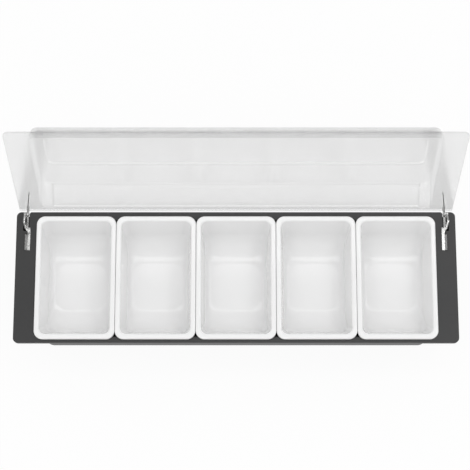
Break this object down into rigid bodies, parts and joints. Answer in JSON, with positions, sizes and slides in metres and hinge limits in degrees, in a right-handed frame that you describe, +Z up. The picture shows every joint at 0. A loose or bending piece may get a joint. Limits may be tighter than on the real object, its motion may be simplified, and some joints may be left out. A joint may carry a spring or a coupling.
{
  "type": "condiment caddy",
  "caption": "Long countertop condiment caddy: a dark tray with lift-out white inserts side by side under one clear domed lid on steel hinges.",
  "frame": {"origin": "middle of the flat underside of the tray", "axes": "+X along the tray, +Y to the hinged rear edge, +Z up"},
  "size_m": [0.4996, 0.2116, 0.2165],
  "materials": {
    "tray": "fine matte moulded ABS, charcoal grey",
    "insert": "white gloss moulded polypropylene",
    "lid": "clear, slightly frosted moulded polycarbonate",
    "steel": "satin stainless steel strip"
  },
  "bodies": {
    "tray": {"base_tray": "tray", "hinge_bracket_left": "steel", "hinge_bracket_right": "steel", "hinge_pin_left": "steel", "hinge_pin_right": "steel", "bracket_rivets_left": "steel", "bracket_rivets_right": "steel", "rivet_washers_left": "steel", "rivet_washers_right": "steel"},
    "lid": {"lid": "lid", "hinge_leaf_left": "steel", "hinge_leaf_right": "steel"},
    "insert_1": {"insert_1": "insert"},
    "insert_2": {"insert_2": "insert"},
    "insert_3": {"insert_3": "insert"},
    "insert_4": {"insert_4": "insert"},
    "insert_5": {"insert_5": "insert"}
  },
  "joints": [
    {"name": "lid_hinge", "type": "hinge", "parent": "tray", "child": "lid", "pos_m": [0, 0.0724, 0.0766], "axis": [-1, 0, 0], "range_deg": [-109.2, 0]},
    {"name": "insert_1_lift", "type": "slide", "parent": "tray", "child": "insert_1", "axis": [0, 0, 1], "range_m": [0, 0.09]},
    {"name": "insert_2_lift", "type": "slide", "parent": "tray", "child": "insert_2", "axis": [0, 0, 1], "range_m": [0, 0.09]},
    {"name": "insert_3_lift", "type": "slide", "parent": "tray", "child": "insert_3", "axis": [0, 0, 1], "range_m": [0, 0.09]},
    {"name": "insert_4_lift", "type": "slide", "parent": "tray", "child": "insert_4", "axis": [0, 0, 1], "range_m": [0, 0.09]},
    {"name": "insert_5_lift", "type": "slide", "parent": "tray", "child": "insert_5", "axis": [0, 0, 1], "range_m": [0, 0.09]}
  ]
}
